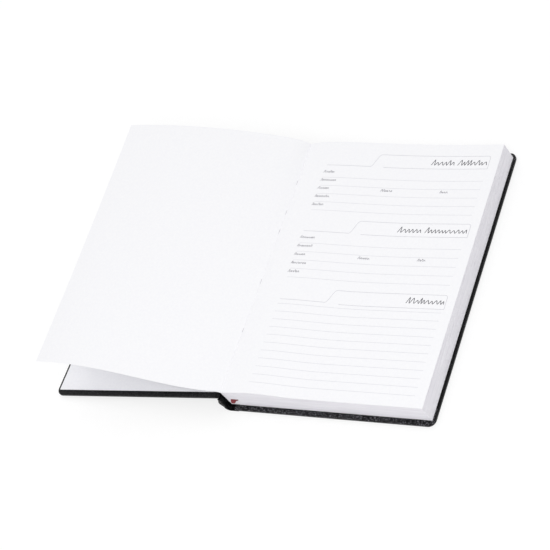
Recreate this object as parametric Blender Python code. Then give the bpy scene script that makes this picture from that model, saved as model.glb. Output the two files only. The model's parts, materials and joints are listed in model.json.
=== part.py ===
"""Daily planner lying open at its first leaf: a leatherette case around a sewn text block.

Sizes are in millimetres. The section frame has x = 0 at the gutter, y = 0 at the tail of the
pages and z = 0 on the table; the row's origin is the middle of the back cover's underside.
"""

import math

import bmesh
import bpy

MM = 0.001

# Pages
page_width = 145.0
page_height = 200.0
leaf_thickness = 0.15
paper_gap = 0.1
signature_count = 11
signature_pitch = 1.23
fold_steps = 6
block_shear = 1.3

# Case
board_thickness = 1.7
skin_thickness = 0.4
square_tail = 3.5
square_head = 4.0
square_fore = 1.7
board_spine_edge = 7.0
corner_radius = 4.9
corner_steps = 8
edge_rounding = 0.8
turn_in = 13.0
skin_lap = 0.4
pastedown_inset = 0.4

# Spine
spine_outer = 2.8
spine_board_thickness = 0.7
spine_drop = 3.4
spine_bend = 3.6
mull_thickness = 0.1
lining_thickness = 0.15
mull_setback = 16.0
lining_setback = 4.0

# Open cover
front_axis_x = 0.8
front_setback = 0.5
front_square = 2.6
joint_rise = 1.91
joint_fillet = 0.6
joint_steps = 10

# Shape of the open leaves, at the tail and at the head
gutter_lift = (0.5, 1.6)
hump_height = (2.4, 5.2)
hump_reach = (62.0, 138.0)
hump_peak = 25.0
turned_rise = (37.2, 23.2)
turned_pull = (6.5, 3.5)
turned_lip = 5.0
turned_lip_run = (1.1, 6.0)
turned_curl = 0.9
leaf_columns = 22
leaf_rows = 6

# Ribbon
ribbon_width = 5.6
ribbon_thickness = 0.25
ribbon_x = 7.4
ribbon_signature = 6
channel_depth = 0.45
ribbon_tail = 2.6
ribbon_droop = 1.7
ribbon_notch = 1.4
ribbon_tab = 22.0
ribbon_bend = 0.5
bend_steps = 4

# Heights that follow from the stack
cover_thickness = 2 * skin_thickness + board_thickness + 2 * paper_gap
board_low = skin_thickness + paper_gap
pastedown_low = cover_thickness + paper_gap
flyleaf_low = pastedown_low + leaf_thickness + paper_gap
lined_thickness = flyleaf_low + leaf_thickness
block_low = lined_thickness + paper_gap
block_high = block_low + signature_count * signature_pitch - paper_gap
form_low = block_high + paper_gap
form_high = form_low + leaf_thickness
closed_outer = form_high + paper_gap + leaf_thickness + paper_gap + lined_thickness

# Plan sizes that follow
case_low = -square_tail
case_high = page_height + square_head
fore_edge = page_width + block_shear + square_fore
board_end = fore_edge - skin_thickness - paper_gap
board_width = board_end - board_spine_edge
centre_x = (board_spine_edge + fore_edge) / 2
centre_y = (case_low + case_high) / 2

turned_reach = tuple(page_width - pull for pull in turned_pull)

# Hinge axes: the front one takes the cover from the table to flat on the closed block
spine_top = block_high - spine_drop
front_reach = fore_edge - front_setback - front_axis_x
rest_tilt = math.asin((spine_top + joint_rise) / front_reach)
front_axis_z = (front_reach * math.sin(rest_tilt) + closed_outer * math.cos(rest_tilt)) / (
    1 + math.cos(rest_tilt)
)
front_axis_depth = closed_outer - front_axis_z
back_axis_x = front_axis_x
back_axis_z = front_axis_depth
leaf_axis_z = form_high + sum(gutter_lift) / 2


def clear_scene():
    for item in list(bpy.data.objects):
        bpy.data.objects.remove(item, do_unlink=True)


def stuff(name, colour, roughness):
    material = bpy.data.materials.new(name)
    material.use_nodes = True
    shader = material.node_tree.nodes["Principled BSDF"]
    shader.inputs["Base Color"].default_value = (*colour, 1.0)
    shader.inputs["Roughness"].default_value = roughness
    shader.inputs["Metallic"].default_value = 0.0
    material.diffuse_color = (*colour, 1.0)
    return material


def axis_empty(name, x, z, turn=0.0):
    """An empty on a hinge axis; pieces parented to it are built round that axis."""
    empty = bpy.data.objects.new(name, None)
    bpy.context.scene.collection.objects.link(empty)
    empty.location = ((x - centre_x) * MM, 0.0, z * MM)
    empty.rotation_euler = (0.0, turn, 0.0)
    return empty


def place(name, bm, material, parent=None, smooth=False):
    """Make the object of a finished bmesh whose points are in section or axis millimetres."""
    bmesh.ops.recalc_face_normals(bm, faces=bm.faces)
    shift_x = 0.0 if parent else -centre_x
    for vert in bm.verts:
        vert.co.x = (vert.co.x + shift_x) * MM
        vert.co.y = (vert.co.y - centre_y) * MM
        vert.co.z *= MM
    mesh = bpy.data.meshes.new(name)
    bm.to_mesh(mesh)
    bm.free()
    item = bpy.data.objects.new(name, mesh)
    bpy.context.scene.collection.objects.link(item)
    item.data.materials.append(material)
    item.parent = parent
    for face in mesh.polygons:
        face.use_smooth = smooth
    return item


def extrude_along_y(profile, low, high):
    """A closed x-z profile drawn out along the height of the page."""
    bm = bmesh.new()
    face = bm.faces.new([bm.verts.new((x, low, z)) for x, z in profile])
    made = bmesh.ops.extrude_face_region(bm, geom=[face])
    verts = [part for part in made["geom"] if isinstance(part, bmesh.types.BMVert)]
    bmesh.ops.translate(bm, verts=verts, vec=(0.0, high - low, 0.0))
    return bm


def extrude_along_z(outline, low, high):
    """A closed x-y outline drawn upwards."""
    bm = bmesh.new()
    face = bm.faces.new([bm.verts.new((x, y, low)) for x, y in outline])
    made = bmesh.ops.extrude_face_region(bm, geom=[face])
    verts = [part for part in made["geom"] if isinstance(part, bmesh.types.BMVert)]
    bmesh.ops.translate(bm, verts=verts, vec=(0.0, 0.0, high - low))
    return bm


def loft(loops):
    """Closed loops of equal count bridged in turn, with both ends capped.

    Every bridge is split the same way across x, so that leaves which follow one another stay parallel.
    """
    bm = bmesh.new()
    rings = [[bm.verts.new(point) for point in loop] for loop in loops]
    for first, second in zip(rings, rings[1:]):
        for k in range(len(first)):
            after = (k + 1) % len(first)
            if first[k].co.x <= first[after].co.x:
                bm.faces.new((first[k], first[after], second[after]))
                bm.faces.new((first[k], second[after], second[k]))
            else:
                bm.faces.new((first[k], first[after], second[k]))
                bm.faces.new((first[after], second[after], second[k]))
    bm.faces.new(rings[0])
    bm.faces.new(rings[-1])
    return bm


def thick_path(path, thickness):
    """A polyline in x-z given a constant thickness to both sides."""
    left = []
    right = []
    for k, (x, z) in enumerate(path):
        ahead = path[min(k + 1, len(path) - 1)]
        behind = path[max(k - 1, 0)]
        length = math.hypot(ahead[0] - behind[0], ahead[1] - behind[1])
        side_x = -(ahead[1] - behind[1]) / length * thickness / 2
        side_z = (ahead[0] - behind[0]) / length * thickness / 2
        left.append((x + side_x, z + side_z))
        right.append((x - side_x, z - side_z))
    return left + right[::-1]


def cut(item, cutter):
    """Take a hidden cutter's shape out of a piece."""
    cutter.hide_render = True
    cutter.display_type = "WIRE"
    modifier = item.modifiers.new("cut_" + cutter.name, "BOOLEAN")
    modifier.operation = "DIFFERENCE"
    modifier.solver = "EXACT"
    modifier.object = cutter


def cover_outline(start, end, low, high, radius, side):
    """Plan of a cover: square at the spine side, rounded at the two fore corners."""
    points = [(start, high), (start, low)]
    for centre, first in (((end - radius, low + radius), -90.0), ((end - radius, high - radius), 0.0)):
        for k in range(corner_steps + 1):
            angle = math.radians(first + 90.0 * k / corner_steps)
            points.append((centre[0] + radius * math.cos(angle), centre[1] + radius * math.sin(angle)))
    return [(side * x, y) for x, y in points]


def plate(start, end, low, high, radius, bottom, top, side):
    return extrude_along_z(cover_outline(start, end, low, high, radius, side), bottom, top)


def build_cover(label, side, axis, axis_depth, fore, square):
    """One half of the case, drawn round its hinge axis; `side` is +1 towards +x and -1 towards -x.

    The board lies in a leatherette skin that wraps its three outer edges and is turned in on the
    inner face, and the pastedown covers the turn-in up to a square from the fore edge.
    """
    board_fore = fore - skin_thickness - paper_gap
    board_start = board_fore - board_width
    inner_radius = corner_radius - skin_thickness
    page_fore = fore - square

    skin = plate(
        board_start - skin_lap, fore, case_low, case_high, corner_radius,
        -axis_depth, cover_thickness - axis_depth, side,
    )
    outer_edges = []
    for edge in skin.edges:
        flat = abs(edge.verts[0].co.z - edge.verts[1].co.z) < 1e-6
        at_spine = all(abs(abs(vert.co.x) - (board_start - skin_lap)) < 1e-6 for vert in edge.verts)
        if flat and not at_spine:
            outer_edges.append(edge)
    bmesh.ops.bevel(
        skin, geom=outer_edges, offset=edge_rounding, segments=3, profile=0.5, affect="EDGES",
        clamp_overlap=True,
    )
    skin_item = place(label + "_cover_leatherette", skin, leatherette, axis)

    beyond = board_start - turn_in
    pocket = plate(
        beyond, fore - skin_thickness,
        case_low + skin_thickness, case_high - skin_thickness, inner_radius,
        skin_thickness - axis_depth, cover_thickness - skin_thickness - axis_depth, side,
    )
    cut(skin_item, place(label + "_board_pocket", pocket, leatherette, axis))
    window = plate(
        beyond, fore - turn_in, case_low + turn_in, case_high - turn_in, inner_radius,
        board_low + board_thickness / 2 - axis_depth, 2 * cover_thickness - axis_depth, side,
    )
    cut(skin_item, place(label + "_turn_in_window", window, leatherette, axis))
    lap = plate(
        beyond, board_start - paper_gap,
        case_low - skin_thickness, case_high + skin_thickness, paper_gap,
        skin_thickness - axis_depth, 2 * cover_thickness - axis_depth, side,
    )
    cut(skin_item, place(label + "_joint_lap", lap, leatherette, axis))

    board = plate(
        board_start, board_fore,
        case_low + skin_thickness + paper_gap, case_high - skin_thickness - paper_gap,
        inner_radius - paper_gap, board_low - axis_depth, board_low + board_thickness - axis_depth, side,
    )
    place(label + "_board", board, grey_board, axis)

    paper = plate(
        board_start + pastedown_inset, page_fore, 0.0, page_height, leaf_thickness,
        pastedown_low - axis_depth, pastedown_low + leaf_thickness - axis_depth, side,
    )
    place(label + "_pastedown", paper, endpaper, axis)


def front_point(reach, depth):
    """Section point a distance along the open cover from its axis, at a height over its outer face."""
    rise = depth - front_axis_depth
    x = front_axis_x - reach * math.cos(rest_tilt) - rise * math.sin(rest_tilt)
    z = front_axis_z - reach * math.sin(rest_tilt) + rise * math.cos(rest_tilt)
    return x, z


def fore_shift(z):
    """How far a leaf at this height stands out past the top leaf."""
    return block_shear * (block_high - z) / (block_high - block_low)


def page_height_at(x, v):
    """Height of the form leaf's underside over its flat part; v runs from tail 0 to head 1."""
    reach = hump_reach[0] + (hump_reach[1] - hump_reach[0]) * v
    if x >= reach:
        return 0.0
    lift = gutter_lift[0] + (gutter_lift[1] - gutter_lift[0]) * v
    hump = hump_height[0] + (hump_height[1] - hump_height[0]) * v
    power = math.log(0.5) / math.log(hump_peak / reach)
    return lift * (1 - x / reach) ** 2 + hump * math.sin(math.pi * (x / reach) ** power) ** 2


def turned_height_at(x, v):
    """Underside of the turned leaf at a distance x left of the gutter: low at the tail, high at the head."""
    start = form_low + gutter_lift[0] + (gutter_lift[1] - gutter_lift[0]) * v
    over_cover = front_point(front_axis_x + x, lined_thickness)[1] + 2 * paper_gap
    tail_share = math.sin(math.pi / 2 * min(1.0, x / turned_reach[0]) ** turned_curl) ** 2
    tail = over_cover + turned_rise[0] * tail_share
    tail = start + (tail - start) * (1 - math.exp(-x / turned_lip_run[0]))
    head = start + turned_lip * (1 - math.exp(-x / turned_lip_run[1]))
    head += (turned_rise[1] + gutter_lift[1]) * (1 - (1 - min(1.0, x / turned_reach[1])) ** 2)
    return tail + (head - tail) * v


def column_x(start, end, k):
    """Places of the columns of a curved leaf, closer together at the gutter."""
    return start + (end - start) * (k / leaf_columns) ** 1.5


def build_signatures():
    """Folded sections: a round fold at the spine, a slanted fore edge, the top one humped at the gutter."""
    thickness = signature_pitch - paper_gap
    for number in range(1, signature_count + 1):
        name = f"signature_{number:02d}"
        low = block_low + (signature_count - number) * signature_pitch
        high = low + thickness
        fold = thickness / 2
        start_low = fore_shift(low)
        start_high = fore_shift(high)
        arc = []
        for k in range(fold_steps + 1):
            angle = math.pi * (0.5 + k / fold_steps)
            middle = start_high + (start_low - start_high) * k / fold_steps + fold
            arc.append((middle + fold * math.cos(angle), low + fold + fold * math.sin(angle)))
        fore = [(start_low + page_width, low), (start_high + page_width, high)]
        if number == 1:
            loops = []
            for row in range(leaf_rows + 1):
                v = row / leaf_rows
                loop = [(x, page_height * v, z + max(0.0, z - low - fold) / fold * page_height_at(0.0, v))
                        for x, z in arc]
                loop += [(x, page_height * v, z) for x, z in fore]
                for k in range(leaf_columns - 1, 0, -1):
                    x = column_x(paper_gap, page_width, k)
                    if x > fold:
                        loop.append((x, page_height * v, high + page_height_at(x, v)))
                loops.append(loop)
            place(name, loft(loops), page_stock)
            continue
        top = []
        if number == ribbon_signature:
            half = ribbon_width / 2 + 2 * paper_gap
            floor = high - channel_depth
            top = [(ribbon_x + x, z) for x, z in ((half, high), (half, floor), (-half, floor), (-half, high))]
        place(name, extrude_along_y(arc + fore + top, 0.0, page_height), page_stock)


def leaf_loops(height_at, starts, ends, thickness):
    """Loops of a thin curved leaf: a strip of columns from the gutter to its free edge at each row."""
    loops = []
    for row in range(leaf_rows + 1):
        v = row / leaf_rows
        start = starts[0] + (starts[1] - starts[0]) * v
        end = ends[0] + (ends[1] - ends[0]) * v
        under = []
        for k in range(leaf_columns + 1):
            x = column_x(start, end, k)
            under.append((x, page_height * v, height_at(abs(x), v)))
        over = [(x, y, z + thickness) for x, y, z in reversed(under)]
        loops.append(under + over)
    return loops


def build_leaves():
    """The form leaf on the block and the title leaf turned over to the left."""
    def form_height(x, v):
        return form_low + page_height_at(x, v)

    place(
        "form_leaf",
        loft(leaf_loops(form_height, (paper_gap,) * 2, (page_width,) * 2, leaf_thickness)),
        page_stock, smooth=False,
    )

    axis = axis_empty("title_leaf_axis", 0.0, leaf_axis_z)

    def title_height(x, v):
        return turned_height_at(x, v) - leaf_axis_z

    place(
        "title_leaf",
        loft(leaf_loops(title_height, (-paper_gap,) * 2, [-reach for reach in turned_reach], leaf_thickness)),
        page_stock, axis,
    )


def build_endpapers(front_axis):
    """The free halves of the endpapers: one on the open cover, one under the block."""
    fore = front_reach - front_square
    start = front_reach - skin_thickness - paper_gap - board_width
    sheet = plate(
        start, fore, 0.0, page_height, leaf_thickness,
        flyleaf_low - front_axis_depth, lined_thickness - front_axis_depth, -1,
    )
    place("front_flyleaf", sheet, endpaper, front_axis)
    sheet = plate(
        fore_shift(block_low), fore_shift(block_low) + page_width, 0.0, page_height, leaf_thickness,
        flyleaf_low, lined_thickness, 1,
    )
    place("back_flyleaf", sheet, endpaper)


def spine_sheet(offset, thickness, low, high):
    """Profile of a sheet glued along the slanted spine face, `offset` outside the folds."""
    near = -offset
    far = -offset - thickness
    return [
        (fore_shift(low) + near, low), (fore_shift(high) + near, high),
        (fore_shift(high) + far, high), (fore_shift(low) + far, low),
    ]


def build_spine():
    """Spine linings on the block, and the stiff spine strip with its turned-in leatherette."""
    lining_offset = paper_gap + mull_thickness + paper_gap
    mull = extrude_along_y(
        spine_sheet(paper_gap, mull_thickness, block_low, block_high),
        mull_setback, page_height - mull_setback,
    )
    place("mull", mull, gauze)
    lining = extrude_along_y(
        spine_sheet(lining_offset, lining_thickness, block_low, block_high),
        lining_setback, page_height - lining_setback,
    )
    place("spine_lining", lining, lining_paper)

    outer = -spine_outer
    pocket_outer = outer + skin_thickness
    board_outer = pocket_outer + paper_gap
    board_inner = board_outer + spine_board_thickness
    pocket_inner = board_inner + paper_gap
    inner = pocket_inner + skin_thickness
    low = case_low + skin_thickness
    high = case_high - skin_thickness
    channel = [
        (outer, case_low), (inner, case_low), (inner, case_low + turn_in), (pocket_inner, case_low + turn_in),
        (pocket_inner, low), (pocket_outer, low), (pocket_outer, high), (pocket_inner, high),
        (pocket_inner, case_high - turn_in), (inner, case_high - turn_in),
        (inner, case_high), (outer, case_high),
    ]
    place("spine_leatherette", extrude_along_z(channel, spine_bend, spine_top), leatherette)
    strip = [
        (board_outer, low + paper_gap), (board_inner, low + paper_gap),
        (board_inner, high - paper_gap), (board_outer, high - paper_gap),
    ]
    place("spine_board", extrude_along_z(strip, spine_bend + paper_gap, spine_top - paper_gap), grey_board)


def build_joints():
    """Flexible leatherette from the spine to each board: a sharp fold in front, a wide bend behind."""
    middle = -spine_outer + skin_thickness / 2
    reach = front_reach - skin_thickness - paper_gap - board_width - skin_lap - paper_gap
    end = front_point(reach, skin_thickness / 2)
    corner_z = end[1] + (middle - end[0]) * math.tan(rest_tilt)
    turn = math.pi / 2 + rest_tilt
    bend_z = corner_z - joint_fillet * math.tan(turn / 2)
    path = [(middle, spine_top + paper_gap)]
    for k in range(joint_steps + 1):
        angle = turn * k / joint_steps
        path.append((middle - joint_fillet * (1 - math.cos(angle)), bend_z + joint_fillet * math.sin(angle)))
    path.append(end)
    strip = extrude_along_y(thick_path(path, skin_thickness), case_low, case_high)
    place("front_joint_leatherette", strip, leatherette)

    radius = spine_bend - skin_thickness / 2 - 2 * paper_gap
    centre_z = radius + skin_thickness / 2 + paper_gap / 2
    path = [(middle, spine_bend - paper_gap)]
    for k in range(joint_steps + 1):
        angle = math.radians(180 + 90 * k / joint_steps)
        path.append((middle + radius + radius * math.cos(angle), centre_z + radius * math.sin(angle)))
    path.append((board_spine_edge - skin_lap - paper_gap, path[-1][1]))
    strip = extrude_along_y(thick_path(path, skin_thickness), case_low, case_high)
    place("rear_joint_leatherette", strip, leatherette)


def build_ribbon():
    """Ribbon glued on the spine lining, led over the head, along its channel and out at the tail."""
    top = block_low + (signature_count - ribbon_signature + 1) * signature_pitch - paper_gap
    level = top - channel_depth + paper_gap + ribbon_thickness / 2
    half = ribbon_width / 2
    bend = ribbon_bend
    turned_low = level + bend + paper_gap
    heights = (turned_low, turned_low + half, turned_low + ribbon_width)
    tab_offset = 2 * paper_gap + mull_thickness + lining_thickness + paper_gap + ribbon_thickness / 2

    def tail_point(across, share):
        """A point of the hanging tail: share 0 where it leaves the block, 1 at its end."""
        swing = math.pi / 2 * share
        drop = ribbon_droop * (1 - math.cos(swing))
        return ribbon_x + across * half, -ribbon_tail * math.sin(swing) - paper_gap, level - drop

    notched = 1 - ribbon_notch / ribbon_tail
    rows = [[tail_point(-1, 1.0), tail_point(0, notched), tail_point(1, 1.0)]]
    for k in range(1, bend_steps + 1):
        share = (1 - k / bend_steps) * notched
        rows.append([tail_point(across, share) for across in (-1, 0, 1)])
    rows.append([(ribbon_x + across * half, page_height, level) for across in (-1, 0, 1)])
    for k in range(1, bend_steps + 1):
        swing = math.pi / 2 * k / bend_steps
        y = page_height + bend * math.sin(swing)
        z = level + bend * (1 - math.cos(swing))
        rows.append([(ribbon_x + across * half, y, z) for across in (-1, 0, 1)])
    over_head = page_height + bend
    rows.append([(ribbon_x + across * half, over_head, heights[across + 1]) for across in (-1, 0, 1)])
    for k in range(bend_steps + 1):
        swing = math.pi / 2 * k / bend_steps
        row = []
        for z in heights:
            corner = fore_shift(z) - tab_offset + bend
            row.append((corner - bend * math.sin(swing), page_height + bend * math.cos(swing), z))
        rows.append(row)
    rows.append([(fore_shift(z) - tab_offset, page_height - ribbon_tab, z) for z in heights])

    loops = []
    for k, row in enumerate(rows):
        ahead = rows[min(k + 1, len(rows) - 1)]
        behind = rows[max(k - 1, 0)]
        over = []
        under = []
        for j in range(3):
            across = [row[2][i] - row[0][i] for i in range(3)]
            along = [ahead[j][i] - behind[j][i] for i in range(3)]
            normal = (
                across[1] * along[2] - across[2] * along[1],
                across[2] * along[0] - across[0] * along[2],
                across[0] * along[1] - across[1] * along[0],
            )
            size = math.sqrt(sum(n * n for n in normal))
            step = [n / size * ribbon_thickness / 2 for n in normal]
            over.append(tuple(row[j][i] + step[i] for i in range(3)))
            under.append(tuple(row[j][i] - step[i] for i in range(3)))
        loops.append(over + under[::-1])
    place("ribbon_marker", loft(loops), ribbon_satin)


clear_scene()
leatherette = stuff("black_leatherette", (0.012, 0.012, 0.013), 0.5)
grey_board = stuff("grey_board", (0.32, 0.3, 0.27), 0.9)
endpaper = stuff("endpaper", (0.86, 0.86, 0.87), 0.85)
page_stock = stuff("page_paper", (0.9, 0.9, 0.91), 0.85)
gauze = stuff("binding_gauze", (0.75, 0.72, 0.62), 0.95)
lining_paper = stuff("lining_paper", (0.55, 0.5, 0.42), 0.9)
ribbon_satin = stuff("ribbon_satin", (0.16, 0.012, 0.02), 0.4)

front_axis = axis_empty("front_cover_axis", front_axis_x, front_axis_z, -rest_tilt)
back_axis = axis_empty("back_cover_axis", back_axis_x, back_axis_z)
build_cover("front", -1, front_axis, front_axis_depth, front_reach, front_square)
build_cover("back", 1, back_axis, back_axis_z, fore_edge - back_axis_x, square_fore)
build_signatures()
build_leaves()
build_endpapers(front_axis)
build_spine()
build_joints()
build_ribbon()
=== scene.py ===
"""Daily planner lying open at its first leaf: fine meshes, finishes and a white studio.

Pieces are drawn in the section frame, in millimetres: x = 0 at the gutter, y = 0 at the tail of the
pages, z = 0 on the table. section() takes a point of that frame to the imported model's own frame.
"""

import json
import logging
import math
import random
from dataclasses import dataclass
from enum import Enum
from typing import Callable, Iterable, Sequence

import bpy
from mathutils import Matrix, Vector


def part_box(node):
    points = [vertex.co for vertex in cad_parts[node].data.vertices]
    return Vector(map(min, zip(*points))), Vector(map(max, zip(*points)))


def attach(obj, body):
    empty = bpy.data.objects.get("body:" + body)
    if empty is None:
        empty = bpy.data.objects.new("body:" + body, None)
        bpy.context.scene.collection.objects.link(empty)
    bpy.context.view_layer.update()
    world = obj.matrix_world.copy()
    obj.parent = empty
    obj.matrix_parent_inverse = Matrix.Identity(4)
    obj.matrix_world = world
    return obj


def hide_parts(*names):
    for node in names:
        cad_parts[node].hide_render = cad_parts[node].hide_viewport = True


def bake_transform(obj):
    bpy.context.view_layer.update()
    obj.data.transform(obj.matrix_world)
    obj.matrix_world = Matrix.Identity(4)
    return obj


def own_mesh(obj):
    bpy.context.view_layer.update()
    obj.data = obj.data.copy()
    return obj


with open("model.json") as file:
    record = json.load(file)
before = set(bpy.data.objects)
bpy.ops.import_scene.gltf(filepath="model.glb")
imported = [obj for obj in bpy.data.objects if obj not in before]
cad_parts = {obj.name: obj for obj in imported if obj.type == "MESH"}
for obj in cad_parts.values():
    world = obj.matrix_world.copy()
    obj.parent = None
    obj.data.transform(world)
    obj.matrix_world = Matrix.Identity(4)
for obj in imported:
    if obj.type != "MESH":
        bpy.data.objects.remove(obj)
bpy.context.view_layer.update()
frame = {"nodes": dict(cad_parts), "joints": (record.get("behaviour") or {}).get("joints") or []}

log = logging.getLogger("planner")

MM = 0.001
# Two places nearer than this count as the same place.
NEAR = 0.01 * MM
# The face attribute that tells the leatherette how much painted sheen and wear a place gets.
SHEEN_AND_RUB = "edge_rub"
# A wave texture of scale one repeats after this length.
WAVE_LENGTH = math.pi / 10
# A printed line has no longer straight step than this, in millimetres, so that it follows the page.
INK_STEP = 3.0

Point = tuple[float, float]
Spot = tuple[float, float, float]
Place = Callable[[float, float, float], Spot]
CrossLine = Callable[[float], Spot]


def joint(name: str) -> dict:
    """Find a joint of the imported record.

    Args:
        name: the joint's name.

    Returns:
        The joint's row in the record.
    """
    return next(row for row in frame["joints"] if row["name"] == name)


GUTTER_X = joint("title_leaf_turn")["pos_m"][0]
TAIL_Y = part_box("signature_02")[0].y


def section(x: float, y: float, z: float) -> Vector:
    """Take a point in section millimetres to the model's frame in metres."""
    return Vector((GUTTER_X + x * MM, TAIL_Y + y * MM, z * MM))


def section_of(point: Sequence[float]) -> Vector:
    """Take a point of the model's frame in metres to section millimetres."""
    return Vector(((point[0] - GUTTER_X) / MM, (point[1] - TAIL_Y) / MM, point[2] / MM))


def lerp(ends: Sequence[float], share: float) -> float:
    """Go from the first of two values to the second by a share of the way."""
    return ends[0] + (ends[1] - ends[0]) * share


def ease(share: float) -> float:
    """Go smoothly from nought to one, level at both ends."""
    return share ** 3 * (share * (6 * share - 15) + 10)


def linear(colour: str) -> tuple[float, float, float, float]:
    """Turn an sRGB hex colour into linear light.

    Args:
        colour: six hex digits.

    Returns:
        Linear red, green, blue and an alpha of one.
    """
    shares = [int(colour[k:k + 2], 16) / 255 for k in (0, 2, 4)]
    red, green, blue = (s / 12.92 if s <= 0.04045 else ((s + 0.055) / 1.055) ** 2.4 for s in shares)
    return red, green, blue, 1.0


def per_metre(size_mm: float) -> float:
    """How often a pattern of a size in millimetres repeats in a metre."""
    return 1 / (size_mm * MM)


def feed(node: bpy.types.Node, key: str | int, value: object) -> None:
    """Set an input of a node, or link it.

    Args:
        node: the node that takes the value.
        key: the input's name or number.
        value: a constant, another node's output, or a node for its first output.
    """
    source = value.outputs[0] if isinstance(value, bpy.types.Node) else value
    if isinstance(source, bpy.types.NodeSocket):
        node.id_data.links.new(source, node.inputs[key])
    else:
        node.inputs[key].default_value = source


def add_node(
    tree: bpy.types.NodeTree, kind: str, sockets: dict | None = None, **settings: object,
) -> bpy.types.Node:
    """Add a node with its settings, its values and its links.

    Args:
        tree: the node tree to add to.
        kind: the node's type.
        sockets: what feeds each input, by the input's name or number.
        settings: the node's own properties.

    Returns:
        The new node.
    """
    node = tree.nodes.new(kind)
    for name, value in settings.items():
        setattr(node, name, value)
    for key, value in (sockets or {}).items():
        feed(node, key, value)
    return node


class Part(Enum):
    """What is selected in edit mode."""

    EDGE = 1
    FACE = 2


def deselect() -> None:
    """Leave edit mode and deselect every object."""
    if bpy.context.mode != "OBJECT":
        bpy.ops.object.mode_set(mode="OBJECT")
    bpy.ops.object.select_all(action="DESELECT")


def pick(*objects: bpy.types.Object) -> None:
    """Select some objects and nothing else, and make the first one active.

    Args:
        objects: the objects to select.
    """
    deselect()
    for obj in objects:
        obj.select_set(True)
    bpy.context.view_layer.objects.active = objects[0]


def claim(name: str) -> bpy.types.Object:
    """Name the object that an operator has just made, and its mesh.

    Args:
        name: the new name.

    Returns:
        The object.
    """
    made = bpy.context.object
    made.name = name
    made.data.name = name
    return made


def select_parts(obj: bpy.types.Object, part: Part, test: Callable[[Vector, Vector], bool]) -> None:
    """Enter edit mode with the parts of a mesh selected that pass a test.

    Args:
        obj: the mesh object.
        part: edges or faces.
        test: takes a part's middle and its direction: a normal, or an edge from end to end.
    """
    bpy.context.view_layer.objects.active = obj
    obj.select_set(True)
    bpy.ops.object.mode_set(mode="EDIT")
    bpy.ops.mesh.select_mode(type=part.name)
    bpy.ops.mesh.select_all(action="DESELECT")
    bpy.ops.object.mode_set(mode="OBJECT")
    mesh = obj.data
    if part is Part.FACE:
        for face in mesh.polygons:
            face.select = test(face.center, face.normal)
    else:
        for edge in mesh.edges:
            first, last = (mesh.vertices[k].co for k in edge.vertices)
            edge.select = test((first + last) / 2, last - first)
    bpy.ops.object.mode_set(mode="EDIT")


def apply_modifier(obj: bpy.types.Object, kind: str, **settings: object) -> None:
    """Add a modifier to an object and apply it.

    Args:
        obj: the mesh object.
        kind: the modifier's type.
        settings: the modifier's own properties.
    """
    pick(obj)
    modifier = obj.modifiers.new(kind.lower(), kind)
    for name, value in settings.items():
        setattr(modifier, name, value)
    bpy.ops.object.modifier_apply(modifier=modifier.name)


def finish_mesh(obj: bpy.types.Object, smooth_deg: float = 35.0) -> None:
    """Put an object's place into its mesh, turn its faces outwards and smooth its rounds.

    Args:
        obj: the mesh object, closed.
        smooth_deg: edges sharper than this stay sharp.
    """
    pick(obj)
    bpy.ops.object.transform_apply(location=True, rotation=True, scale=True)
    bpy.ops.object.mode_set(mode="EDIT")
    bpy.ops.mesh.select_all(action="SELECT")
    bpy.ops.mesh.normals_make_consistent(inside=False)
    bpy.ops.object.mode_set(mode="OBJECT")
    bpy.ops.object.shade_smooth_by_angle(angle=math.radians(smooth_deg))


def slab(name: str, columns: int, rows: int, place: Place) -> bpy.types.Object:
    """Lay a grid of two layers out as a thin closed piece.

    Args:
        name: the piece's name.
        columns: steps across the sheet.
        rows: steps along the sheet.
        place: gives the section point for shares across, along and through the sheet.

    Returns:
        The finished mesh object.
    """
    deselect()
    bpy.ops.mesh.primitive_grid_add(x_subdivisions=columns, y_subdivisions=rows, size=1.0)
    obj = claim(name)
    bpy.ops.object.mode_set(mode="EDIT")
    bpy.ops.mesh.select_all(action="SELECT")
    bpy.ops.mesh.extrude_region_move(TRANSFORM_OT_translate={"value": (0.0, 0.0, 1.0)})
    bpy.ops.object.mode_set(mode="OBJECT")
    for vert in obj.data.vertices:
        vert.co = section(*place(vert.co.x + 0.5, vert.co.y + 0.5, vert.co.z))
    finish_mesh(obj)
    return obj


def swept(name: str, path: Sequence[Point], thickness: float, low: float, high: float) -> bpy.types.Object:
    """Draw an x-z path out along y as a sheet of constant thickness.

    Args:
        name: the piece's name.
        path: the middle line's points, in section millimetres.
        thickness: across the path.
        low: the y that the sheet starts at.
        high: the y that it ends at.

    Returns:
        The finished mesh object.
    """
    last = len(path) - 1

    def place(across: float, along: float, through: float) -> Spot:
        """Set a corner off from the path's middle line.

        Args:
            across: the share of the way along the path.
            along: the share of the way along y.
            through: nought on one face of the sheet, one on the other.

        Returns:
            The section point.
        """
        k = round(across * last)
        ahead = path[min(k + 1, last)]
        behind = path[max(k - 1, 0)]
        length = math.hypot(ahead[0] - behind[0], ahead[1] - behind[1])
        offset = (through - 0.5) * thickness / length
        x = path[k][0] - (ahead[1] - behind[1]) * offset
        z = path[k][1] + (ahead[0] - behind[0]) * offset
        return x, lerp((low, high), along), z

    return slab(name, last, 1, place)


def arc(centre: Point, radius: float, first_deg: float, last_deg: float, steps: int) -> list[Point]:
    """Points of an arc in x and z, from one angle to the other."""
    angles = [math.radians(lerp((first_deg, last_deg), k / steps)) for k in range(steps + 1)]
    return [(centre[0] + radius * math.cos(a), centre[1] + radius * math.sin(a)) for a in angles]


def steps_between(first: float, last: float, step: float) -> list[float]:
    """Even places from one value to another, at most a step apart."""
    count = max(1, math.ceil(abs(last - first) / step))
    return [lerp((first, last), k / count) for k in range(count + 1)]


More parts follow.
